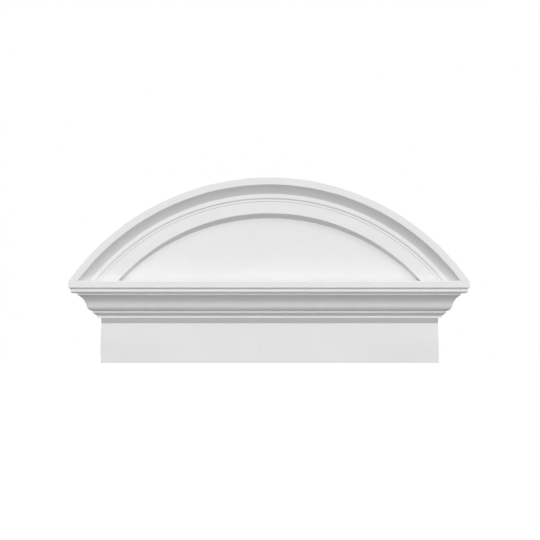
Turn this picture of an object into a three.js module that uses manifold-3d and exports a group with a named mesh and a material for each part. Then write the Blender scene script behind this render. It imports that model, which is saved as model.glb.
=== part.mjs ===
// A segmental door pediment, moulded in one piece and fixed flat against the wall above a door.
// Millimetres. +Z is up, the front faces -Y and the flat back lies on the wall, in the plane Y = 0.
// The origin is on the back, on the centre line, at the springing line of the arch.
import * as THREE from "three";
import { mergeVertices } from "three/addons/utils/BufferGeometryUtils.js";
import Module from "manifold-3d";

// Overall sizes
const WIDTH = 1280;
const ARCH_RISE = 332.5;
const FRIEZE_THICKNESS = 46;

// The horizontal cornice, member by member from the ledge down.
// A height is how tall a member is, a depth is how far it steps back towards the frieze.
const LEDGE_RISE = 3.8;
const NOSING_RADIUS = 3;
const FASCIA_HEIGHT = 18.7;
const QUIRK_RADIUS = 6;
const DRIP_FILLET_HEIGHT = 4.3;
const DRIP_ROUND_RADIUS = 6.6;
const SOFFIT_DEPTH = 11.9;
const CAP_FILLET_HEIGHT = 6.7;
const CAP_CHAMFER_HEIGHT = 1.3;
const CAP_CHAMFER_DEPTH = 3.5;
const CYMA_HEIGHT = 49.9;
const CYMA_DEPTH = 37;
const LOWER_FILLET_HEIGHT = 5.3;
const BEVEL_HEIGHT = 10.2;
const BEVEL_DEPTH = 12;
const BED_FILLET_HEIGHT = 6.4;
const SPLAY_HEIGHT = 18.4;
const SPLAY_DEPTH = 12;

// The frieze board below the cornice, whose ends lean out towards the foot
const FRIEZE_HEIGHT = 131.8;
const FRIEZE_FLARE = 5.4;

// The cyma's curve leaves each end along a handle, given in shares of the cyma's own depth and height
const CYMA_TOP_HANDLE = new THREE.Vector2(0.8, 0.47);
const CYMA_FOOT_HANDLE = new THREE.Vector2(0.7, 0.14);

// Members of the arch, from its outer edge inwards
const ARCH_FASCIA_WIDTH = 22.3;
const ARCH_COVE_WIDTH = 27.7;
const ARCH_COVE_DEPTH = 21;
const ARCH_COVE_HOLLOW = 2;
const ARCH_FILLET_WIDTH = 12.5;
const ARCH_STEP_WIDTH = 4.5;
const ARCH_STEP_DEPTH = 2.3;
const ARCH_SMALL_FILLET_WIDTH = 6;
const ARCH_SMALL_STEP_WIDTH = 1.5;
const ARCH_SMALL_STEP_DEPTH = 1.1;

// The flat band inside the arch's mouldings, and the panel sunk in it.
// The panel's sloped return is wide at the crown and narrow at the springing.
const BAND_WIDTH_AT_CROWN = 37.2;
const BAND_WIDTH_AT_SPRINGING = 56.9;
const PANEL_DEPTH = 24;
const RETURN_WIDTH_AT_CROWN = 13.7;
const RETURN_WIDTH_AT_SPRINGING = 6;

// How finely the round stretches are faceted
const SMALL_ROUND_STEPS = 4;
const COVE_STEPS = 5;
const CYMA_STEPS = 14;
const PANEL_ARC_STEPS = 72;
const ARCH_EDGE_STEPS = 96;
const ARCH_TURN_STEPS = 240;

// How far a solid that only joins or cuts runs on past the surface it meets
const LAP = 8;
const WELD = 1e-4;

const CORNICE_DEPTH =
  QUIRK_RADIUS +
  DRIP_ROUND_RADIUS +
  SOFFIT_DEPTH +
  CAP_CHAMFER_DEPTH +
  CYMA_DEPTH +
  BEVEL_DEPTH +
  SPLAY_DEPTH;
const DEPTH = FRIEZE_THICKNESS + CORNICE_DEPTH;
const HALF_WIDTH = WIDTH / 2;
const FRIEZE_HALF_WIDTH = HALF_WIDTH - CORNICE_DEPTH;
const ARCH = archThrough(HALF_WIDTH, ARCH_RISE);
const BAND_DEPTH = ARCH_COVE_DEPTH + ARCH_STEP_DEPTH + ARCH_SMALL_STEP_DEPTH;
const BAND_RADIUS =
  ARCH.radius -
  ARCH_FASCIA_WIDTH -
  ARCH_COVE_WIDTH -
  ARCH_FILLET_WIDTH -
  ARCH_STEP_WIDTH -
  ARCH_SMALL_FILLET_WIDTH -
  ARCH_SMALL_STEP_WIDTH;

const WHITE_POLYMER = new THREE.MeshStandardMaterial({
  color: 0xe8e8e8,
  roughness: 0.6,
  metalness: 0,
  flatShading: true,
});

const wasm = await Module();
wasm.setup();

// The circle through both ends of a chord on the springing line and its crown, by its radius and centre height
function archThrough(halfChord, rise) {
  const radius = (halfChord ** 2 + rise ** 2) / (2 * rise);
  return { radius, centre: rise - radius };
}

// Points along a circle's arc. An angle of 0 points along the first axis and a quarter turn along the second.
function arcPoints(x, y, radius, start, end, steps) {
  const clockwise = end < start;
  return new THREE.ArcCurve(x, y, radius, start, end, clockwise).getPoints(steps);
}

// A geometry as a closed solid that can be joined and cut
function solidOf(geometry) {
  geometry.deleteAttribute("normal");
  geometry.deleteAttribute("uv");
  const welded = mergeVertices(geometry, WELD);
  const triVerts = [];
  for (let i = 0; i < welded.index.count; i += 3) {
    const corners = [0, 1, 2].map((k) => welded.index.getX(i + k));
    if (new Set(corners).size === 3) triVerts.push(...corners);
  }
  const mesh = new wasm.Mesh({
    numProp: 3,
    vertProperties: welded.getAttribute("position").array,
    triVerts: new Uint32Array(triVerts),
  });
  return new wasm.Manifold(mesh);
}

// A solid as a geometry again
function geometryOf(solid) {
  const { vertProperties, triVerts } = solid.getMesh();
  const geometry = new THREE.BufferGeometry();
  geometry.setAttribute("position", new THREE.BufferAttribute(vertProperties, 3));
  geometry.setIndex(new THREE.BufferAttribute(triVerts, 1));
  geometry.computeVertexNormals();
  return geometry;
}

// An outline drawn in X and Z, seen from the front, as a block whose front and back are at these depths
function frontBlock(points, front, back) {
  const shape = new THREE.Shape(points);
  const block = new THREE.ExtrudeGeometry(shape, { depth: front - back, bevelEnabled: false });
  const right = new THREE.Vector3(1, 0, 0);
  const up = new THREE.Vector3(0, 0, 1);
  const forward = new THREE.Vector3(0, -1, 0);
  return block.applyMatrix4(new THREE.Matrix4().makeBasis(right, up, forward)).translate(0, -back, 0);
}

// A section drawn in distance from the wall and Z, as a bar along X that runs past both ends
function lengthwiseBar(points) {
  const shape = new THREE.Shape(points);
  const length = WIDTH + 2 * LAP;
  const bar = new THREE.ExtrudeGeometry(shape, { depth: length, bevelEnabled: false });
  const forward = new THREE.Vector3(0, -1, 0);
  const up = new THREE.Vector3(0, 0, 1);
  const left = new THREE.Vector3(-1, 0, 0);
  return bar.applyMatrix4(new THREE.Matrix4().makeBasis(forward, up, left)).translate(length / 2, 0, 0);
}

// The cyma recta, hollow above and round below, from its top to its foot
function cymaPoints(top, foot) {
  const size = new THREE.Vector2(CYMA_DEPTH, CYMA_HEIGHT);
  const topHandle = top.clone().sub(CYMA_TOP_HANDLE.clone().multiply(size));
  const footHandle = foot.clone().add(CYMA_FOOT_HANDLE.clone().multiply(size));
  return new THREE.CubicBezierCurve(top, topHandle, footHandle, foot).getPoints(CYMA_STEPS);
}

// The cornice's profile from the foot of its fascia to the foot of its lowest fillet.
// The first coordinate is the projection from the frieze, the second the height.
function cornicePoints() {
  const points = [];
  const at = new THREE.Vector2(CORNICE_DEPTH, -FASCIA_HEIGHT);
  const move = (depth, height) => at.set(at.x - depth, at.y - height);
  const mark = () => points.push(at.clone());

  const quirk = arcPoints(at.x, at.y - QUIRK_RADIUS, QUIRK_RADIUS, Math.PI / 2, Math.PI, SMALL_ROUND_STEPS);
  points.push(...quirk);
  move(QUIRK_RADIUS, QUIRK_RADIUS + DRIP_FILLET_HEIGHT);
  const roundCentre = at.x - DRIP_ROUND_RADIUS;
  const dripRound = arcPoints(roundCentre, at.y, DRIP_ROUND_RADIUS, 0, -Math.PI / 2, SMALL_ROUND_STEPS);
  points.push(...dripRound);
  move(DRIP_ROUND_RADIUS + SOFFIT_DEPTH, DRIP_ROUND_RADIUS);
  mark();
  move(0, CAP_FILLET_HEIGHT);
  mark();
  move(CAP_CHAMFER_DEPTH, CAP_CHAMFER_HEIGHT);
  const cymaTop = at.clone();
  move(CYMA_DEPTH, CYMA_HEIGHT);
  points.push(...cymaPoints(cymaTop, at.clone()));
  move(0, LOWER_FILLET_HEIGHT);
  mark();
  move(BEVEL_DEPTH, BEVEL_HEIGHT);
  mark();
  move(0, BED_FILLET_HEIGHT);
  mark();
  return points;
}

const CORNICE_POINTS = cornicePoints();
const CORNICE_FOOT = CORNICE_POINTS.at(-1).y;
const FOOT = CORNICE_FOOT - SPLAY_HEIGHT - FRIEZE_HEIGHT;

// The front section of cornice and frieze: the same profile, then the splay that only the front has
function courseSection() {
  const profile = CORNICE_POINTS.map((p) => new THREE.Vector2(FRIEZE_THICKNESS + p.x, p.y));
  const nosingX = DEPTH - NOSING_RADIUS;
  const nosingY = LEDGE_RISE - NOSING_RADIUS;
  return [
    new THREE.Vector2(0, LEDGE_RISE),
    new THREE.Vector2(0, FOOT),
    new THREE.Vector2(FRIEZE_THICKNESS, FOOT),
    new THREE.Vector2(FRIEZE_THICKNESS, CORNICE_FOOT - SPLAY_HEIGHT),
    ...profile.reverse(),
    ...arcPoints(nosingX, nosingY, NOSING_RADIUS, 0, Math.PI / 2, SMALL_ROUND_STEPS),
  ];
}

// The whole outline seen from the front: arch, returns of the cornice and the leaning ends of the frieze
function frontOutline() {
  const halfAngle = Math.atan2(HALF_WIDTH, -ARCH.centre);
  const start = Math.PI / 2 - halfAngle;
  const edge = arcPoints(0, ARCH.centre, ARCH.radius, start, start + 2 * halfAngle, ARCH_EDGE_STEPS);
  const right = CORNICE_POINTS.map((p) => new THREE.Vector2(FRIEZE_HALF_WIDTH + p.x, p.y));
  right.push(new THREE.Vector2(FRIEZE_HALF_WIDTH, CORNICE_FOOT));
  right.push(new THREE.Vector2(FRIEZE_HALF_WIDTH + FRIEZE_FLARE, FOOT));
  const left = right.map((p) => new THREE.Vector2(-p.x, p.y));
  return [...edge, ...left, ...right.reverse()];
}

// Half the section of the arch, for turning about its axis: radius and depth, listed so that it faces out
function archSection() {
  const points = [new THREE.Vector2(0, 0), new THREE.Vector2(ARCH.radius + LAP, 0)];
  const at = new THREE.Vector2(ARCH.radius + LAP, -DEPTH);
  points.push(at.clone());
  const move = (width, depth) => points.push(at.set(at.x - width, at.y + depth).clone());

  move(LAP + ARCH_FASCIA_WIDTH, 0);
  points.push(...covePoints(at.clone()));
  at.copy(points.at(-1));
  move(ARCH_FILLET_WIDTH, 0);
  move(ARCH_STEP_WIDTH, ARCH_STEP_DEPTH);
  move(ARCH_SMALL_FILLET_WIDTH, 0);
  move(ARCH_SMALL_STEP_WIDTH, ARCH_SMALL_STEP_DEPTH);
  points.push(new THREE.Vector2(0, at.y));
  return points.reverse();
}

// The arch's cove, a little hollower than a straight slope, from the fascia in to the fillet
function covePoints(start) {
  const end = new THREE.Vector2(start.x - ARCH_COVE_WIDTH, start.y + ARCH_COVE_DEPTH);
  const slope = Math.hypot(ARCH_COVE_WIDTH, ARCH_COVE_DEPTH);
  const inward = new THREE.Vector2(ARCH_COVE_DEPTH / slope, ARCH_COVE_WIDTH / slope);
  const middle = start.clone().add(end).multiplyScalar(0.5);
  const handle = middle.addScaledVector(inward, 2 * ARCH_COVE_HOLLOW);
  return new THREE.QuadraticBezierCurve(start, handle, end).getPoints(COVE_STEPS).slice(1);
}

// The arch as a turned disc, kept only above a line a little below the springing
function archBody() {
  const disc = new THREE.LatheGeometry(archSection(), ARCH_TURN_STEPS).translate(0, 0, ARCH.centre);
  const reach = ARCH.radius + 2 * LAP;
  const keep = [
    new THREE.Vector2(-reach, -LAP),
    new THREE.Vector2(reach, -LAP),
    new THREE.Vector2(reach, reach),
    new THREE.Vector2(-reach, reach),
  ];
  return solidOf(disc).intersect(solidOf(frontBlock(keep, DEPTH + LAP, -LAP)));
}

// What the sunk panel takes out of the arch, narrowing towards the back
function panelCut() {
  const halfChord = Math.sqrt(BAND_RADIUS ** 2 - ARCH.centre ** 2) - BAND_WIDTH_AT_SPRINGING;
  const rise = BAND_RADIUS + ARCH.centre - BAND_WIDTH_AT_CROWN;
  const arch = archThrough(halfChord, rise);
  const halfAngle = Math.atan2(halfChord, -arch.centre);
  const start = Math.PI / 2 - halfAngle;
  const outline = [
    ...arcPoints(0, arch.centre, arch.radius, start, start + 2 * halfAngle, PANEL_ARC_STEPS),
    new THREE.Vector2(-halfChord, -2 * LAP),
    new THREE.Vector2(halfChord, -2 * LAP),
  ];
  const front = DEPTH - BAND_DEPTH;
  const cut = frontBlock(outline, front + LAP, front - PANEL_DEPTH);
  const narrowing = RETURN_WIDTH_AT_SPRINGING / halfChord;
  const lowering = RETURN_WIDTH_AT_CROWN / rise;
  const place = cut.getAttribute("position");
  for (let i = 0; i < place.count; i += 1) {
    const wayIn = (front + place.getY(i)) / PANEL_DEPTH;
    place.setX(i, place.getX(i) * (1 - narrowing * wayIn));
    place.setZ(i, place.getZ(i) * (1 - lowering * wayIn));
  }
  return solidOf(cut);
}

// The whole moulding
function pediment() {
  const courses = solidOf(lengthwiseBar(courseSection()));
  const arch = archBody().subtract(panelCut());
  const outline = solidOf(frontBlock(frontOutline(), DEPTH + LAP, -LAP));
  const solid = courses.add(arch).intersect(outline);
  const mesh = new THREE.Mesh(geometryOf(solid), WHITE_POLYMER);
  mesh.name = "pediment";
  return mesh;
}

const part = new THREE.Group();
part.add(pediment());

export default part;
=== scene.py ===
"""A door pediment moulded in one piece: segmental arch, sunk panel, cornice and frieze, primed white."""

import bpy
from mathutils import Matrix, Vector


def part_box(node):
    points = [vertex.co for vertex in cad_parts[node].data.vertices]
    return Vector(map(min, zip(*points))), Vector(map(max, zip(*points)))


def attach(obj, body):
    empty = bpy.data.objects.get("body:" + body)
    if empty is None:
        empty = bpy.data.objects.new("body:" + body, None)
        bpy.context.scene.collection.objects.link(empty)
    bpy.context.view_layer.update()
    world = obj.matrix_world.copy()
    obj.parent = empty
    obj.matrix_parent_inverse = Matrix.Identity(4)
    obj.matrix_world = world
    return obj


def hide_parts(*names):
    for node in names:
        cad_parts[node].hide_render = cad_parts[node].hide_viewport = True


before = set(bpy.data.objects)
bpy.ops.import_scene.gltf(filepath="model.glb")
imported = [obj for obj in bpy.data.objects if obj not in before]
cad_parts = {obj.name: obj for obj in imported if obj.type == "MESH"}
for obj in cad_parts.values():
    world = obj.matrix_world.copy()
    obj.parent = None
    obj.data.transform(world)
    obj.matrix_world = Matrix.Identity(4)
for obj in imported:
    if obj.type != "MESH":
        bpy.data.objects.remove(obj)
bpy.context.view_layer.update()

import math

import bmesh
import bpy
from bpy.props import FloatProperty, FloatVectorProperty, PointerProperty
from mathutils import Vector
from mathutils.geometry import interpolate_bezier

bl_info = {
    "name": "Door Pediment",
    "version": (1, 0, 0),
    "blender": (4, 5, 0),
    "location": "View3D > Sidebar > Pediment",
    "description": "Makes a primed door pediment and the studio that it is shown in",
    "category": "Object",
}

NODE = "pediment"
BODY = "root"

# The overall sizes come from the frame. +Z is up, the front faces -Y and the back lies in the plane Y = 0.
# The origin is on the back, on the centre line, at the springing line of the arch.
LOW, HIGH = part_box(NODE)
HALF_WIDTH = HIGH.x
ARCH_RISE = HIGH.z
FOOT = LOW.z
DEPTH = -LOW.y

# How finely the surface is divided
ARC_SEGMENTS = 288
COVE_STEPS = 20
CYMA_STEPS = 44
ROUND_STEPS = 10
EASE_STEPS = 5
RETURN_STEPS = 4

# A turn sharper than this is an arris or a valley, and is rounded
SHARP_TURN = math.radians(14)
# Two faces that meet at more than this keep a crisp edge in the shading
CRISP_ANGLE = math.radians(32)
# A rounding takes at most this share of the stretch beside it
EASE_LIMIT = 0.45
# Corners closer than this are one corner, and heights closer than this are level
WELD = 2e-6
# No point is kept or added closer than this to the end of a stretch
TINY = 2e-5

# The cyma leaves each end along a handle, given in shares of its own depth and height
CYMA_TOP_HANDLE = Vector((0.8, 0.47))
CYMA_FOOT_HANDLE = Vector((0.7, 0.14))


def length(label, description, default):
    """A size in metres."""
    return FloatProperty(
        name=label, description=description, default=default, min=0.0, precision=5, unit="LENGTH"
    )


def position(label, description, default):
    """A place along an axis in metres, on either side of the origin."""
    return FloatProperty(name=label, description=description, default=default, precision=4, unit="LENGTH")


def shift(label, description, default):
    """A camera's shift, in shares of the picture's width."""
    return FloatProperty(name=label, description=description, default=default, precision=4)


def factor(label, description, default, highest=1.0):
    """A plain share or strength."""
    return FloatProperty(name=label, description=description, default=default, min=0.0, max=highest)


def tint(label, description, default):
    """A colour, in linear light."""
    return FloatVectorProperty(
        name=label, description=description, default=default, min=0.0, max=1.0, size=3, subtype="COLOR"
    )


class CorniceSizes(bpy.types.PropertyGroup):
    """Members of the horizontal cornice from the ledge down, and the frieze's ends"""

    ledge_rise: length("Ledge rise", "Height of the ledge above the springing line", 0.0038)
    nosing_radius: length("Nosing radius", "Round on the ledge's front edge", 0.003)
    fascia_height: length("Fascia height", "From the springing line to the foot of the fascia", 0.0187)
    quirk_radius: length("Quirk radius", "Hollow under the fascia", 0.006)
    drip_height: length("Drip height", "Upright fillet below the quirk", 0.0043)
    drip_radius: length("Drip radius", "Round on the drip's lower edge", 0.0066)
    soffit_depth: length("Soffit depth", "Flat underside behind the drip", 0.0119)
    cap_height: length("Cap fillet", "Fillet between the soffit and the cyma", 0.0067)
    chamfer_height: length("Chamfer height", "Height of the small chamfer under the cap fillet", 0.0013)
    chamfer_depth: length("Chamfer depth", "Depth of the small chamfer under the cap fillet", 0.0035)
    cyma_height: length("Cyma height", "Height of the large double curve", 0.0499)
    cyma_depth: length("Cyma depth", "Projection of the large double curve", 0.037)
    lower_fillet: length("Lower fillet", "Fillet at the foot of the cyma", 0.0053)
    bevel_height: length("Bevel height", "Height of the straight bevel", 0.0102)
    bevel_depth: length("Bevel depth", "Projection of the straight bevel", 0.012)
    bed_fillet: length("Bed fillet", "Lowest fillet of the cornice", 0.0064)
    splay_height: length("Splay height", "Height of the splay that runs down to the frieze", 0.0184)
    splay_depth: length("Splay depth", "Projection of that splay", 0.012)
    frieze_flare: length("Frieze flare", "How far each end of the frieze leans out at its foot", 0.0054)


class ArchSizes(bpy.types.PropertyGroup):
    """Members of the arch from its outer edge inwards, and the panel sunk in it"""

    fascia_width: length("Fascia width", "Flat front of the arch", 0.0223)
    cove_width: length("Cove width", "Width of the cove seen from the front", 0.0277)
    cove_depth: length("Cove depth", "How far the cove runs back", 0.021)
    cove_hollow: length("Cove hollow", "Sag of the cove below a straight slope", 0.002)
    fillet_width: length("Fillet width", "Flat fillet inside the cove", 0.0125)
    step_width: length("Step width", "Width of the slope inside the fillet", 0.0045)
    step_depth: length("Step depth", "Depth of the slope inside the fillet", 0.0023)
    small_fillet_width: length("Small fillet", "Second, narrower fillet", 0.006)
    small_step_width: length("Small step width", "Width of the last step down to the band", 0.0015)
    small_step_depth: length("Small step depth", "Depth of the last step down to the band", 0.0011)
    band_at_crown: length("Band at crown", "Width of the flat band at the crown", 0.0372)
    band_at_springing: length("Band at springing", "Width of the flat band at its feet", 0.0569)
    panel_depth: length("Panel depth", "How far the panel is sunk behind the band", 0.024)
    return_at_crown: length("Return at crown", "Slope of the panel's edge at the crown", 0.0137)
    return_at_springing: length("Return at springing", "Slope of the panel's edge at its feet", 0.006)


class FinishSettings(bpy.types.PropertyGroup):
    """The primer coat, its marks, the painted shade on it, and the bare back"""

    arris_ease: length("Arris ease", "How far back from a corner its rounding starts", 0.0009)
    primer: tint("Primer", "Colour of the factory primer", (0.81, 0.81, 0.81))
    # Also the colour of the painted shade on the frieze and on the faces that look up
    soil_and_shade: tint("Soil", "Colour of scuffs and smudges on the primer", (0.55, 0.54, 0.52))
    foam: tint("Foam", "Colour of the bare back", (0.78, 0.74, 0.64))
    roughness: factor("Roughness", "Sheen of the primer, higher is more matt", 0.5)
    mottle: factor("Mottle", "How much the primer's tone varies over the surface", 0.03)
    scuffs: factor("Scuffs", "Strength of the scuffs down the frieze", 0.3)
    smudges: factor("Smudges", "Strength of the smudges on the panel", 0.14)
    # Painted shade on the frieze, broadly across it and more towards both ends
    frieze_shade: factor("Greying", "Strength of the handling grime on the frieze", 0.12)
    nibs: factor("Nibs", "Strength of the specks of dust caught in the primer", 0.25)
    # Darkens the faces that look up: partly settled dust, partly painted shade so that the ledge throws
    # less light onto the foot of the panel
    dust_and_shade: factor("Dust", "How thickly dust lies on the ledge and the arch", 0.75)
    peel: length("Orange peel", "Height of the sprayed coat's fine ripple", 0.00004)
    waviness: length("Waviness", "Height of the moulding's broad unevenness", 0.0006)
    pit_depth: length("Pit depth", "Depth of the open pores in the bare back", 0.0004)
    overspray: length("Overspray", "How far the primer reaches in from the back's edges", 0.035)


class StageSettings(bpy.types.PropertyGroup):
    """Camera, lights and floor"""

    camera_across: position("Camera across", "How far right of the centre line it stands", 0.065)
    camera_up: position("Camera up", "How far above the springing line it stands", -0.073)
    camera_distance: length("Camera distance", "From the camera to the front of the pediment", 3.0)
    lens: FloatProperty(name="Lens", description="Focal length of the camera", default=62.8, unit="CAMERA")
    shift_across: shift("Shift across", "The level camera's shift to the right", -0.0361)
    shift_up: shift("Shift up", "The level camera's shift upwards", 0.0644)
    floor_drop: length("Floor drop", "From the foot of the pediment down to the floor", 0.65)
    ambient: factor("Ambient", "Soft light from all round", 0.16, 10.0)
    front: factor("Front light", "Level light from straight in front", 1.06, 10.0)
    key: factor("Key", "Main light, from above in front", 0.94, 10.0)
    side: factor("Side light", "Light from the right", 0.4, 10.0)
    fill: factor("Fill", "Shadowless light that lifts the flat faces", 1.1, 10.0)
    back: factor("Back light", "Light on the back", 2.6, 10.0)


class PedimentSettings(bpy.types.PropertyGroup):
    """Everything that the panel shows"""

    cornice: PointerProperty(type=CorniceSizes)
    arch: PointerProperty(type=ArchSizes)
    finish: PointerProperty(type=FinishSettings)
    stage: PointerProperty(type=StageSettings)


def turn_at(points, index):
    """How sharply a line turns at one of its points."""
    return (points[index] - points[index - 1]).angle(points[index + 1] - points[index])


def trimmed(points, at_start, at_end):
    """A stretch of line shortened at each end, by less than half of it."""
    run = [0.0]
    for before, after in zip(points, points[1:]):
        run.append(run[-1] + (after - before).length)
    first = min(at_start, EASE_LIMIT * run[-1])
    last = run[-1] - min(at_end, EASE_LIMIT * run[-1])

    def point_at(distance):
        for index in range(1, len(run)):
            if distance <= run[index]:
                break
        span = run[index] - run[index - 1]
        return points[index - 1].lerp(points[index], (distance - run[index - 1]) / span)

    kept = [point for point, distance in zip(points, run) if first + TINY < distance < last - TINY]
    return [point_at(first), *kept, point_at(last)]


def bend(start, corner, end):
    """The points between two ends of a smooth bend that a corner pulls towards itself."""
    shares = [step / EASE_STEPS for step in range(1, EASE_STEPS)]
    return [start.lerp(corner, t).lerp(corner.lerp(end, t), t) for t in shares]


def eased(points, ease):
    """The same line with its arrises and valleys rounded, and gentle curves left as they are."""
    inner = [i for i in range(1, len(points) - 1) if turn_at(points, i) > SHARP_TURN]
    stops = [0, *inner, len(points) - 1]
    line = []
    for start, end in zip(stops, stops[1:]):
        ease_start = ease if start in inner else 0.0
        ease_end = ease if end in inner else 0.0
        stretch = trimmed(points[start : end + 1], ease_start, ease_end)
        if line:
            line.extend(bend(line[-1], points[start], stretch[0]))
        line.extend(stretch)
    return line


def rounding(ease):
    """A rounded arris between a side and a front: how far each point is set back from the two faces."""
    side = Vector((0.0, ease))
    front = Vector((ease, 0.0))
    return [side, *bend(side, Vector((0.0, 0.0)), front), front]


def round_points(centre, radius, start, end):
    """Points of an arc in a profile, from one angle to the other."""
    angles = [start + (end - start) * step / ROUND_STEPS for step in range(ROUND_STEPS + 1)]
    return [centre + radius * Vector((math.cos(a), math.sin(a))) for a in angles]


def arch_through(half_chord, rise):
    """Radius and centre height of the circle through a chord on the springing line and its crown."""
    radius = (half_chord**2 + rise**2) / (2 * rise)
    return radius, rise - radius


def arc(radius, centre, foot, depth):
    """Points of a circle about the centre line, from its right foot over the crown to its left foot."""
    half_angle = math.acos((foot - centre) / radius)
    angles = [half_angle * (1 - 2 * step / ARC_SEGMENTS) for step in range(ARC_SEGMENTS + 1)]
    return [Vector((radius * math.sin(a), depth, centre + radius * math.cos(a))) for a in angles]


class Pen:
    """Draws a profile member by member. Each step goes inwards by its first length."""

    def __init__(self, start):
        self.points = [Vector(start)]

    @property
    def at(self):
        """Where the pen is."""
        return self.points[-1]

    def step(self, inwards, along):
        """A straight stretch."""
        self.points.append(self.at + Vector((-inwards, along)))

    def follow(self, points):
        """A curve that starts where the pen is."""
        self.points.extend(points[1:])


def add_object(name, data):
    """A new object in the scene."""
    thing = bpy.data.objects.new(name, data)
    bpy.context.scene.collection.objects.link(thing)
    return thing


class Skin:
    """Gathers the faces of one closed skin and turns them into a mesh."""

    def __init__(self):
        self.mesh = bmesh.new()

    def face(self, corners):
        """One flat face."""
        self.mesh.faces.new([self.mesh.verts.new(corner) for corner in corners])

    def loft(self, rings):
        """Joins each line of points to the next with four-sided faces."""
        rows = [[self.mesh.verts.new(point) for point in ring] for ring in rings]
        for row, following in zip(rows, rows[1:]):
            for i in range(len(row) - 1):
                self.mesh.faces.new((row[i], row[i + 1], following[i + 1], following[i]))

    def finish(self, name):
        """Welds the faces, checks that they close, and returns the piece."""
        bmesh.ops.remove_doubles(self.mesh, verts=self.mesh.verts, dist=WELD)
        open_edges = [edge for edge in self.mesh.edges if len(edge.link_faces) != 2]
        if open_edges:
            place = open_edges[0].verts[0].co
            raise RuntimeError(f"{name} has {len(open_edges)} open edges, one at {place}")
        bmesh.ops.recalc_face_normals(self.mesh, faces=self.mesh.faces)
        for face in self.mesh.faces:
            face.smooth = True
        data = bpy.data.meshes.new(name)
        self.mesh.to_mesh(data)
        self.mesh.free()
        data.set_sharp_from_angle(angle=CRISP_ANGLE)
        return add_object(name, data)


def cornice_profile(cornice, top, ease):
    """The cornice in section, from a line on its fascia to the foot of its lowest fillet.

    The first coordinate is the projection in front of the frieze, the second the height.
    """
    projection = (
        cornice.quirk_radius
        + cornice.drip_radius
        + cornice.soffit_depth
        + cornice.chamfer_depth
        + cornice.cyma_depth
        + cornice.bevel_depth
        + cornice.splay_depth
    )
    pen = Pen((projection, top))
    pen.points.append(Vector((projection, -cornice.fascia_height)))
    quirk_centre = pen.at + Vector((0.0, -cornice.quirk_radius))
    pen.follow(round_points(quirk_centre, cornice.quirk_radius, math.pi / 2, math.pi))
    pen.step(0.0, -cornice.drip_height)
    drip_centre = pen.at + Vector((-cornice.drip_radius, 0.0))
    pen.follow(round_points(drip_centre, cornice.drip_radius, 0.0, -math.pi / 2))
    pen.step(cornice.soffit_depth, 0.0)
    pen.step(0.0, -cornice.cap_height)
    pen.step(cornice.chamfer_depth, -cornice.chamfer_height)
    pen.follow(cyma_points(cornice, pen.at))
    pen.step(0.0, -cornice.lower_fillet)
    pen.step(cornice.bevel_depth, -cornice.bevel_height)
    pen.step(0.0, -cornice.bed_fillet)
    return eased(pen.points, ease)


def cyma_points(cornice, top):
    """The cyma recta, hollow above and round below."""
    size = Vector((cornice.cyma_depth, cornice.cyma_height))
    foot = top - size
    handles = top - CYMA_TOP_HANDLE * size, foot + CYMA_FOOT_HANDLE * size
    return interpolate_bezier(top, *handles, foot, CYMA_STEPS + 1)


def arch_section(arch, radius, ease):
    """The arch in section from the inner edge of its fascia to its flat band, as radius and Y.

    The pen starts halfway across the fascia and ends halfway across the band, so that the arrises at
    both ends are rounded too. Those two points are then left out.
    """
    pen = Pen((radius - arch.fascia_width / 2, -DEPTH))
    pen.step(arch.fascia_width / 2, 0.0)
    pen.follow(cove_points(arch, pen.at))
    pen.step(arch.fillet_width, 0.0)
    pen.step(arch.step_width, arch.step_depth)
    pen.step(arch.small_fillet_width, 0.0)
    pen.step(arch.small_step_width, arch.small_step_depth)
    pen.step(arch.band_at_crown / 2, 0.0)
    return eased(pen.points, ease)[1:-1]


def cove_points(arch, start):
    """The arch's cove, a little hollower than a straight slope."""
    end = start + Vector((-arch.cove_width, arch.cove_depth))
    inward = Vector((arch.cove_depth, arch.cove_width)).normalized()
    handle = (start + end) / 2 + 2 * arch.cove_hollow * inward
    # A curve with one handle is the cubic curve whose handles lie two thirds of the way to it
    handles = [stop.lerp(handle, 2 / 3) for stop in (start, end)]
    return interpolate_bezier(start, *handles, end, COVE_STEPS + 1)


def split_at(section, depths):
    """The section with a point more wherever it passes one of these depths."""
    points = [section[0]]
    for start, end in zip(section, section[1:]):
        for depth in depths:
            if start.y + TINY < depth < end.y - TINY:
                points.append(start.lerp(end, (depth - start.y) / (end.y - start.y)))
        points.append(end)
    return points


def plan_line(half_width, depth, height, corners):
    """The line around three sides at one height: right, front and left, with rounded corners."""
    right = [Vector((half_width, 0.0, height))]
    right += [Vector((half_width - setback.x, -depth + setback.y, height)) for setback in corners]
    left = [Vector((-point.x, point.y, point.z)) for point in reversed(right)]
    return right + left


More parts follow.
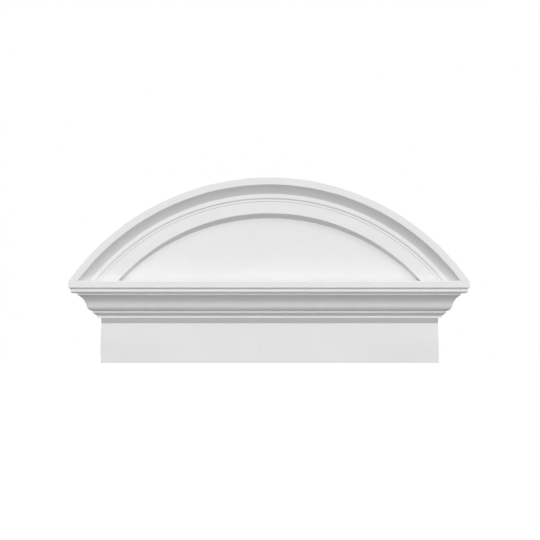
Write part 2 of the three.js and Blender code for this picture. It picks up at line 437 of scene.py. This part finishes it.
class Moulding:
    """The pediment's lines, worked out from the frame and the panel's sizes."""

    def __init__(self, settings):
        self.cornice = settings.cornice
        self.arch = settings.arch
        self.ease = settings.finish.arris_ease
        self.corners = rounding(self.ease)
        self.radius, self.centre = arch_through(HALF_WIDTH, ARCH_RISE)
        # Arch and cornice meet in a line on the fascia, just clear of the rounding at its foot
        self.fascia_foot = -self.cornice.fascia_height + 2 * self.ease
        self.ledge = self.cornice.ledge_rise
        self.profile = cornice_profile(self.cornice, self.fascia_foot, self.ease)
        self.frieze_depth = DEPTH - self.profile[0].x
        self.frieze_half_width = HALF_WIDTH - self.profile[0].x
        # The back's outline: over the arch and down the left side, and down the right side
        self.back_line = []
        self.back_right = []

    def ledge_height(self, depth):
        """Height of the ledge at a depth, lower on its rounded nosing."""
        nosing = self.cornice.nosing_radius
        setback = max(0.0, nosing - (depth + DEPTH))
        return self.ledge - nosing + math.sqrt(max(0.0, nosing**2 - setback**2))

    def nosing_depths(self):
        """Depths that divide the nosing evenly around its round."""
        nosing = self.cornice.nosing_radius
        angles = [math.pi / 2 * step / ROUND_STEPS for step in range(1, ROUND_STEPS + 1)]
        return [-DEPTH + nosing * (1 - math.cos(angle)) for angle in angles]

    def outer_arc(self, setback):
        """The arch's outer edge, set in from the outline, down to where it meets the upright ends."""
        radius = self.radius - setback.x
        foot = self.centre + math.sqrt(radius**2 - (HALF_WIDTH - setback.x) ** 2)
        return arc(radius, self.centre, foot, -DEPTH + setback.y)

    def arch_rings(self):
        """The arch's inner mouldings, each ring ending on the ledge."""
        section = arch_section(self.arch, self.radius, self.ease)
        section = split_at(section, self.nosing_depths())
        return [arc(p.x, self.centre, self.ledge_height(p.y), p.y) for p in section]

    def panel_rings(self):
        """The sunk panel's edge, from its rounded arris on the band down to the back of the panel."""
        arch = self.arch
        band_radius = self.radius - sum(
            (
                arch.fascia_width,
                arch.cove_width,
                arch.fillet_width,
                arch.step_width,
                arch.small_fillet_width,
                arch.small_step_width,
            )
        )
        half_chord = math.sqrt(band_radius**2 - self.centre**2) - arch.band_at_springing
        rise = band_radius + self.centre - arch.band_at_crown
        radius, centre = arch_through(half_chord, rise)
        front = -DEPTH + arch.cove_depth + arch.step_depth + arch.small_step_depth
        slope = Vector((-arch.return_at_crown, arch.panel_depth)).normalized()

        arris = Vector((0.0, front))
        band_side = arris + Vector((self.ease, 0.0))
        return_side = arris + self.ease * slope
        rings = [
            arc(radius + point.x, centre, self.ledge, point.y)
            for point in (band_side, *bend(band_side, arris, return_side))
        ]
        first = (return_side.y - front) / arch.panel_depth
        for step in range(RETURN_STEPS + 1):
            way_in = first + (1 - first) * step / RETURN_STEPS
            narrowing = 1 - way_in * arch.return_at_springing / half_chord
            lowering = 1 - way_in * arch.return_at_crown / rise
            ring = arc(radius, centre, self.ledge / lowering, front + way_in * arch.panel_depth)
            rings.append([Vector((p.x * narrowing, p.y, p.z * lowering)) for p in ring])
        return rings

    def add_arch(self, skin):
        """Arch, ledge and sunk panel, with the fascia and its upright ends."""
        outer = [self.outer_arc(setback) for setback in reversed(self.corners)]
        crown_back = [Vector((p.x, 0.0, p.z)) for p in outer[-1]]
        outer.append(crown_back)
        skin.loft(outer)
        for end in (0, -1):
            tops = [ring[end] for ring in outer]
            feet = [Vector((top.x, top.y, self.fascia_foot)) for top in tops]
            skin.loft([tops, feet])
        self.back_line = crown_back

        rings = self.arch_rings()
        skin.loft([outer[0], rings[0]])
        foot_right = Vector((outer[0][0].x, -DEPTH, self.fascia_foot))
        foot_left = Vector((-foot_right.x, -DEPTH, self.fascia_foot))
        skin.face([outer[0][0], rings[0][0], rings[0][-1], outer[0][-1], foot_left, foot_right])

        panel = self.panel_rings()
        skin.loft(rings + panel)
        skin.face(panel[-1])

        nosing = [ring for ring in rings if ring[0].z < self.ledge - WELD]
        flat = [ring for ring in rings + panel if ring[0].z >= self.ledge - WELD]
        skin.loft([[ring[0], ring[-1]] for ring in [*nosing, flat[0]]])
        skin.face([ring[0] for ring in flat] + [ring[-1] for ring in reversed(flat)])

    def add_cornice(self, skin):
        """The cornice around the front and both ends, down to the undersides of its lowest fillet."""
        depth, half_width = self.frieze_depth, self.frieze_half_width
        rings = [plan_line(half_width + p.x, depth + p.x, p.y, self.corners) for p in self.profile]
        last = rings.pop()
        skin.loft(rings)
        above = rings[-1]
        middle = len(last) // 2
        skin.loft([above[:middle], last[:middle]])
        skin.loft([above[middle:], last[middle:]])

        frieze = plan_line(half_width, -last[middle].y, last[0].z, self.corners)
        right, left = middle - 1, middle
        skin.face([above[right], above[left], last[left], frieze[left], frieze[right], last[right]])
        skin.face(last[:middle] + frieze[:middle][::-1])
        skin.face(last[middle:] + frieze[middle:][::-1])
        self.back_line += [ring[-1] for ring in [*rings, last]]
        self.back_right = [ring[0] for ring in [*rings, last]]
        return frieze

    def add_frieze(self, skin, top):
        """The splay and the frieze board below the cornice, whose ends lean out towards the foot."""
        cornice_foot = top[0].z
        height = cornice_foot - FOOT
        pen = Pen((self.frieze_depth + self.cornice.splay_depth, cornice_foot))
        pen.step(self.cornice.splay_depth, -self.cornice.splay_height)
        pen.points.append(Vector((self.frieze_depth, FOOT)))
        # A short way in under the foot, so that the foot's arris is rounded as well
        pen.step(2 * self.ease, 0.0)
        rings = []
        for point in eased(pen.points, self.ease)[:-1]:
            flare = self.cornice.frieze_flare * (cornice_foot - point.y) / height
            inset = max(0.0, self.frieze_depth - point.x)
            half_width = self.frieze_half_width + flare - inset
            rings.append(plan_line(half_width, point.x, point.y, self.corners))
        skin.loft(rings)
        skin.face(rings[-1])
        self.back_line += [ring[-1] for ring in rings]
        self.back_right += [ring[0] for ring in rings]

    def skin(self):
        """The whole moulding as one closed skin."""
        skin = Skin()
        self.add_arch(skin)
        top = self.add_cornice(skin)
        self.add_frieze(skin, top)
        skin.face(self.back_line + self.back_right[::-1])
        return skin


class Signal:
    """A shader socket that takes part in arithmetic. Each operation adds a Math node."""

    def __init__(self, graph, socket):
        self.graph = graph
        self.socket = socket

    def output(self, name):
        """Another output of the same node."""
        return Signal(self.graph, self.socket.node.outputs[name])

    def __add__(self, other):
        return self.graph.math("ADD", self, other)

    __radd__ = __add__

    def __sub__(self, other):
        return self.graph.math("SUBTRACT", self, other)

    def __rsub__(self, other):
        return self.graph.math("SUBTRACT", other, self)

    def __mul__(self, other):
        return self.graph.math("MULTIPLY", self, other)

    __rmul__ = __mul__

    def __gt__(self, other):
        return self.graph.math("GREATER_THAN", self, other)


class Graph:
    """A node tree, written as expressions."""

    def __init__(self, tree):
        self.tree = tree
        tree.nodes.clear()

    def node(self, kind, settings=None, inputs=None):
        """Adds a node: its settings, then the values or links of its sockets. Gives its first output."""
        node = self.tree.nodes.new(kind)
        for name, value in (settings or {}).items():
            setattr(node, name, value)
        for name, value in (inputs or {}).items():
            if isinstance(value, Signal):
                self.tree.links.new(value.socket, node.inputs[name])
            else:
                node.inputs[name].default_value = value
        return Signal(self, node.outputs[0]) if node.outputs else None

    def noise(self, place, scale, detail=2.0, roughness=0.5):
        """Soft noise about zero."""
        inputs = {"Vector": place, "Scale": scale, "Detail": detail, "Roughness": roughness}
        return self.node("ShaderNodeTexNoise", {"noise_dimensions": "3D"}, inputs) - 0.5

    def clouds(self, place, scale, detail, spread):
        """Soft clouds from 0 to 1. A narrower spread gives them firmer edges."""
        return self.fade(self.noise(place, scale, detail), -spread, spread)

    def fade(self, value, start, end):
        """Rises smoothly from 0 at the start to 1 at the end."""
        inputs = {"Value": value, "From Min": start, "From Max": end, "To Min": 0.0, "To Max": 1.0}
        return self.node("ShaderNodeMapRange", {"interpolation_type": "SMOOTHSTEP"}, inputs)

    def blend(self, mask, first, second):
        """A colour that goes from the first to the second as the mask rises."""
        settings = {"data_type": "RGBA", "blend_type": "MIX"}
        return self.node("ShaderNodeMix", settings, {"Factor": mask, 6: first, 7: second}).output(2)

    def cells(self, place, scale):
        """Distance to the nearest of many scattered points, in shares of their spacing."""
        return self.node("ShaderNodeTexVoronoi", {"feature": "F1"}, {"Vector": place, "Scale": scale})

    def part(self, vector, axis):
        """One component of a vector."""
        return self.node("ShaderNodeSeparateXYZ", None, {0: vector}).output(axis)

    def facing(self, axis):
        """How much the surface faces along an axis: 1 when it faces straight along it."""
        return self.part(self.node("ShaderNodeNewGeometry").output("True Normal"), axis)

    def vector(self, operation, first, second=None):
        """Vector arithmetic."""
        inputs = {0: first} if second is None else {0: first, 1: second}
        return self.node("ShaderNodeVectorMath", {"operation": operation}, inputs)

    def size(self, vector):
        """The length of a vector."""
        return self.vector("LENGTH", vector).output("Value")

    def math(self, operation, first, second):
        """Arithmetic on single values."""
        return self.node("ShaderNodeMath", {"operation": operation}, {0: first, 1: second})


# How fine each pattern is, in cells to a metre
MOTTLE_SCALE = 7.0
FINE_MOTTLE_SCALE = 60.0
ROUGHNESS_SCALE = 25.0
WAVE_SCALE = 9.0
PEEL_SCALE = 240.0
FINE_PEEL_SCALE = 700.0
STREAK_SCALE = 520.0
SMUDGE_SCALE = 130.0
SPECK_SCALE = 70.0
DUST_AND_SHADE_SCALE = 18.0
OVERSPRAY_SCALE = 26.0
FOAM_SCALE = 14.0
PORE_SCALE = 260.0
FLOOR_SCALE = 3.0

# Where the marks of handling lie, and the patches of painted shade on the frieze: the X and Z of the
# middle, then the half width and half height
SCUFFS = (((-0.035, -0.214), (0.011, 0.045)), ((0.300, -0.244), (0.005, 0.006)))
SMUDGES = (
    ((-0.084, 0.051), (0.014, 0.010)),
    ((0.102, 0.132), (0.011, 0.014)),
    ((-0.307, 0.038), (0.026, 0.012)),
)
# Painted shade that darkens the frieze: towards its two ends, and broadly across the whole board
FRIEZE_SHADE_PATCHES = (
    ((-0.52, -0.27), (0.30, 0.13)),
    ((0.52, -0.27), (0.34, 0.13)),
    ((0.0, -0.22), (0.95, 0.16)),
)

# A mark is at its full strength within this share of its size
MARK_CORE = 0.2
# The scuffs' pattern is drawn out upwards, by counting only this share of the height
STREAK_STRETCH = 0.05
# Specks and pores end at the first share of their spacing and are full within the second
SPECK_RIM, SPECK_CORE = 0.05, 0.025
PORE_RIM, PORE_CORE = 0.32, 0.14
# Faces that look up are darkened, partly as settled dust and partly as painted shade that makes the ledge
# throw less light onto the panel's foot. It starts where a face looks up by more than the first share, and
# is full at the second
DUST_AND_SHADE_STARTS, DUST_AND_SHADE_FULL = 0.6, 0.98
# A face that looks backwards by more than this share is part of the back
BACKWARDS = 0.9
# The primer's ragged edge wanders by the first share of the overspray's reach, and covers fully
# within the second
OVERSPRAY_WANDER, OVERSPRAY_FULL = 1.4, 0.3
# The foam's darker clouds and its pores, as shares of its colour, and how much the pores show
FOAM_SHADE, PORE_SHADE, PORE_STRENGTH = 0.9, 0.45, 0.6
# How much the roughness varies over the primer, and how much rougher the bare foam is
ROUGHNESS_CHANGE, FOAM_ROUGHER = 0.12, 0.35
# How strong the finer mottle and the finer ripple are beside the coarser ones
FINE_MOTTLE_SHARE, FINE_PEEL_SHARE = 0.4, 0.5
PRIMER_IOR = 1.46

WHITE = (1.0, 1.0, 1.0, 1.0)
FLOOR_DARKER = (0.93, 0.93, 0.93, 1.0)
FLOOR_PALER = (0.96, 0.96, 0.96, 1.0)
FLOOR_ROUGHNESS = 0.9
FLOOR_GLOW = 0.9
FLOOR_HALF_SIZE = 12.0
# Width of the camera's sensor, in millimetres
SENSOR_WIDTH = 36.0


def opaque(colour):
    """A colour with full alpha."""
    return (*colour, 1.0)


def new_material(name):
    """A material with nothing in it yet, and its node graph."""
    material = bpy.data.materials.new(name)
    material.use_nodes = True
    return material, Graph(material.node_tree)


def marks(graph, place, spots):
    """Soft spots seen from the front, for marks and for painted shade: 1 in the middle of each spot and 0
    all round.
    """
    total = 0.0
    for (x, z), (half_width, half_height) in spots:
        offset = graph.vector("SUBTRACT", place, (x, 0.0, z))
        scaled = graph.vector("MULTIPLY", offset, (1 / half_width, 0.0, 1 / half_height))
        total = graph.fade(graph.size(scaled), 1.0, MARK_CORE) + total
    return total


def soiling_and_shade(graph, place, finish):
    """How much the primer is darkened: scuffs, smudges and caught specks, painted shade over the frieze,
    and the faces that look up darkened partly as dust and partly as painted shade.
    """
    drawn_up = graph.vector("MULTIPLY", place, (1.0, 1.0, STREAK_STRETCH))
    streaks = graph.fade(graph.noise(drawn_up, STREAK_SCALE), start=0.0, end=0.2)
    scuffs = streaks * marks(graph, place, SCUFFS) * finish.scuffs
    cloud = graph.clouds(place, SMUDGE_SCALE, detail=3.0, spread=0.25)
    smudges = cloud * marks(graph, place, SMUDGES) * finish.smudges
    # Painted shade: the frieze darkened broadly, and more towards both ends
    frieze_shade = marks(graph, place, FRIEZE_SHADE_PATCHES) * finish.frieze_shade
    specks = graph.fade(graph.cells(place, SPECK_SCALE), SPECK_RIM, SPECK_CORE) * finish.nibs
    # Painted shade with some dust: the faces that look up are darkened, so that the ledge throws less
    # light onto the panel's foot
    upward = graph.fade(graph.facing("Z"), DUST_AND_SHADE_STARTS, DUST_AND_SHADE_FULL)
    dust_and_shade = upward * finish.dust_and_shade * (1.0 + graph.noise(place, DUST_AND_SHADE_SCALE, detail=4.0))
    return scuffs + smudges + frieze_shade + specks + dust_and_shade


def bare_back(graph, place, finish):
    """1 on the flat back where the primer doesn't reach, with a ragged edge of overspray."""
    radius, centre = arch_through(HALF_WIDTH, ARCH_RISE)
    from_centre = graph.size(graph.vector("SUBTRACT", place, (0.0, 0.0, centre)))
    height = graph.part(place, "Z")
    rim = graph.math("MINIMUM", radius - from_centre, height - FOOT)
    wavering = graph.noise(place, OVERSPRAY_SCALE, detail=5.0, roughness=0.7)
    wander = OVERSPRAY_WANDER * finish.overspray * wavering
    uncovered = graph.fade(rim + wander, OVERSPRAY_FULL * finish.overspray, finish.overspray)
    return uncovered * (graph.facing("Y") > BACKWARDS)


def primer_coat(graph, place, finish):
    """The primer's colour: faintly mottled, soiled here and there, and darkened with painted shade on the
    frieze and the faces that look up.
    """
    fine_mottle = FINE_MOTTLE_SHARE * graph.noise(place, FINE_MOTTLE_SCALE)
    mottle = graph.noise(place, MOTTLE_SCALE, detail=3.0) + fine_mottle
    primer = Vector(finish.primer)
    darker = opaque(primer * (1 - finish.mottle))
    coat = graph.blend(graph.fade(mottle, start=-0.35, end=0.35), darker, opaque(primer))
    return graph.blend(soiling_and_shade(graph, place, finish), coat, opaque(finish.soil_and_shade))


def bare_foam(graph, place, pores, finish):
    """The foam's colour: cloudy, and darker in its open pores."""
    foam = Vector(finish.foam)
    cloud = graph.clouds(place, FOAM_SCALE, detail=4.0, spread=0.3)
    skin = graph.blend(cloud, opaque(foam * FOAM_SHADE), opaque(foam))
    return graph.blend(PORE_STRENGTH * pores, skin, opaque(foam * PORE_SHADE))


def relief(graph, place, pits, finish):
    """The surface's height in metres: the primer's ripple, broad waves and the pits in the foam."""
    fine_peel = FINE_PEEL_SHARE * graph.noise(place, FINE_PEEL_SCALE)
    peel = graph.noise(place, PEEL_SCALE, detail=1.0) + fine_peel
    waves = graph.noise(place, WAVE_SCALE, detail=1.0)
    return finish.peel * peel + finish.waviness * waves - pits * finish.pit_depth


def primer_material(finish):
    """Matt factory primer over foam, which shows on the back."""
    material, graph = new_material("white_primer")
    place = graph.node("ShaderNodeTexCoord").output("Object")
    bare = bare_back(graph, place, finish)
    pores = graph.fade(graph.cells(place, PORE_SCALE), PORE_RIM, PORE_CORE)
    colour = graph.blend(bare, primer_coat(graph, place, finish), bare_foam(graph, place, pores, finish))
    unevenness = ROUGHNESS_CHANGE * graph.noise(place, ROUGHNESS_SCALE, detail=3.0)
    roughness = finish.roughness + unevenness + FOAM_ROUGHER * bare
    height = relief(graph, place, bare * pores, finish)
    surface = graph.node("ShaderNodeBump", None, {"Strength": 1.0, "Distance": 1.0, "Height": height})
    inputs = {"Base Color": colour, "Roughness": roughness, "Normal": surface, "IOR": PRIMER_IOR}
    shader = graph.node("ShaderNodeBsdfPrincipled", None, inputs)
    graph.node("ShaderNodeOutputMaterial", None, {"Surface": shader})
    return material


def floor_material():
    """A pale matt floor that the lights burn out to white."""
    material, graph = new_material("pale_floor")
    place = graph.node("ShaderNodeTexCoord").output("Object")
    cloud = graph.clouds(place, FLOOR_SCALE, detail=2.0, spread=0.3)
    inputs = {
        "Base Color": graph.blend(cloud, FLOOR_DARKER, FLOOR_PALER),
        "Roughness": FLOOR_ROUGHNESS,
        "Emission Color": WHITE,
        "Emission Strength": FLOOR_GLOW,
    }
    shader = graph.node("ShaderNodeBsdfPrincipled", None, inputs)
    graph.node("ShaderNodeOutputMaterial", None, {"Surface": shader})
    return material


def studio_world(strength):
    """White behind the object, and a dimmer even light from all round."""
    world = bpy.data.worlds.new("studio")
    world.use_nodes = True
    graph = Graph(world.node_tree)
    seen = graph.node("ShaderNodeLightPath").output("Is Camera Ray")
    light = graph.node("ShaderNodeBackground", None, {"Color": WHITE, "Strength": strength})
    white = graph.node("ShaderNodeBackground", None, {"Color": WHITE, "Strength": 1.0})
    mixed = graph.node("ShaderNodeMixShader", None, {0: seen, 1: light, 2: white})
    graph.node("ShaderNodeOutputWorld", None, {"Surface": mixed})
    bpy.context.scene.world = world


def soft_sun(name, strength, elevation, azimuth, spread, casts_shadow=True):
    """A distant light, softer with a wider spread. In degrees: azimuth 0 is in front, 90 to the right."""
    data = bpy.data.lights.new(name, "SUN")
    data.angle = math.radians(spread)
    data.energy = strength
    data.use_shadow = casts_shadow
    light = add_object(name, data)
    light.rotation_euler = (math.radians(90 - elevation), 0.0, math.radians(azimuth))


class PEDIMENT_OT_moulding(bpy.types.Operator):
    """Make the moulded pediment with its primer coat"""

    bl_idname = "pediment.moulding"
    bl_label = "Pediment"

    def execute(self, context):
        settings = context.scene.pediment
        piece = Moulding(settings).skin().finish("pediment_moulding")
        normals = piece.modifiers.new("Even shading", "WEIGHTED_NORMAL")
        normals.mode = "FACE_AREA"
        normals.keep_sharp = True
        piece.data.materials.append(primer_material(settings.finish))
        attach(piece, BODY)
        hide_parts(NODE)
        return {"FINISHED"}


class PEDIMENT_OT_stage(bpy.types.Operator):
    """Set up the floor, the lights and the camera"""

    bl_idname = "pediment.stage"
    bl_label = "Stage"

    def execute(self, context):
        stage = context.scene.pediment.stage
        context.scene.view_settings.view_transform = "Standard"
        studio_world(stage.ambient)
        self.add_floor(stage)
        self.add_lights(stage)
        self.add_camera(context, stage)
        return {"FINISHED"}

    def add_floor(self, stage):
        """A floor seen by the camera alone, so that it neither lights nor shades the pediment."""
        height = FOOT - stage.floor_drop
        sides = ((-1, -1), (1, -1), (1, 1), (-1, 1))
        corners = [(x * FLOOR_HALF_SIZE, y * FLOOR_HALF_SIZE, height) for x, y in sides]
        mesh = bpy.data.meshes.new("floor")
        mesh.from_pydata(corners, [], [(0, 1, 2, 3)])
        mesh.materials.append(floor_material())
        floor = add_object("floor", mesh)
        floor.visible_diffuse = False
        floor.visible_glossy = False
        floor.visible_shadow = False

    def add_lights(self, stage):
        """Broad lights from in front and above, one that lifts the flat faces, and one for the back."""
        soft_sun("front", stage.front, elevation=0, azimuth=0, spread=60)
        soft_sun("key", stage.key, elevation=40, azimuth=0, spread=40)
        soft_sun("side", stage.side, elevation=35, azimuth=50, spread=40)
        soft_sun("fill", stage.fill, elevation=60, azimuth=0, spread=0, casts_shadow=False)
        soft_sun("back", stage.back, elevation=25, azimuth=160, spread=40)

    def add_camera(self, context, stage):
        """A level camera, so that uprights stay upright."""
        data = bpy.data.cameras.new("camera")
        data.sensor_width = SENSOR_WIDTH
        data.lens = stage.lens
        data.shift_x = stage.shift_across
        data.shift_y = stage.shift_up
        camera = add_object("camera", data)
        camera.location = (stage.camera_across, -DEPTH - stage.camera_distance, stage.camera_up)
        camera.rotation_euler = (math.pi / 2, 0.0, 0.0)
        context.scene.camera = camera


class PEDIMENT_PT_sidebar(bpy.types.Panel):
    """The pediment's sizes, finish and stage"""

    bl_label = "Pediment"
    bl_idname = "PEDIMENT_PT_sidebar"
    bl_space_type = "VIEW_3D"
    bl_region_type = "UI"
    bl_category = "Pediment"

    def draw(self, context):
        settings = context.scene.pediment
        for operator in OPERATORS:
            self.layout.operator(operator.bl_idname)
        for group in (settings.cornice, settings.arch, settings.finish, settings.stage):
            box = self.layout.box()
            for name in group.__annotations__:
                box.prop(group, name)


OPERATORS = (PEDIMENT_OT_moulding, PEDIMENT_OT_stage)
CLASSES = (
    CorniceSizes,
    ArchSizes,
    FinishSettings,
    StageSettings,
    PedimentSettings,
    *OPERATORS,
    PEDIMENT_PT_sidebar,
)


def register():
    for item in CLASSES:
        bpy.utils.register_class(item)
    bpy.types.Scene.pediment = PointerProperty(type=PedimentSettings)


def unregister():
    del bpy.types.Scene.pediment
    for item in reversed(CLASSES):
        bpy.utils.unregister_class(item)


def main():
    """Makes everything."""
    register()
    bpy.ops.pediment.moulding()
    bpy.ops.pediment.stage()


if __name__ == "__main__":
    main()
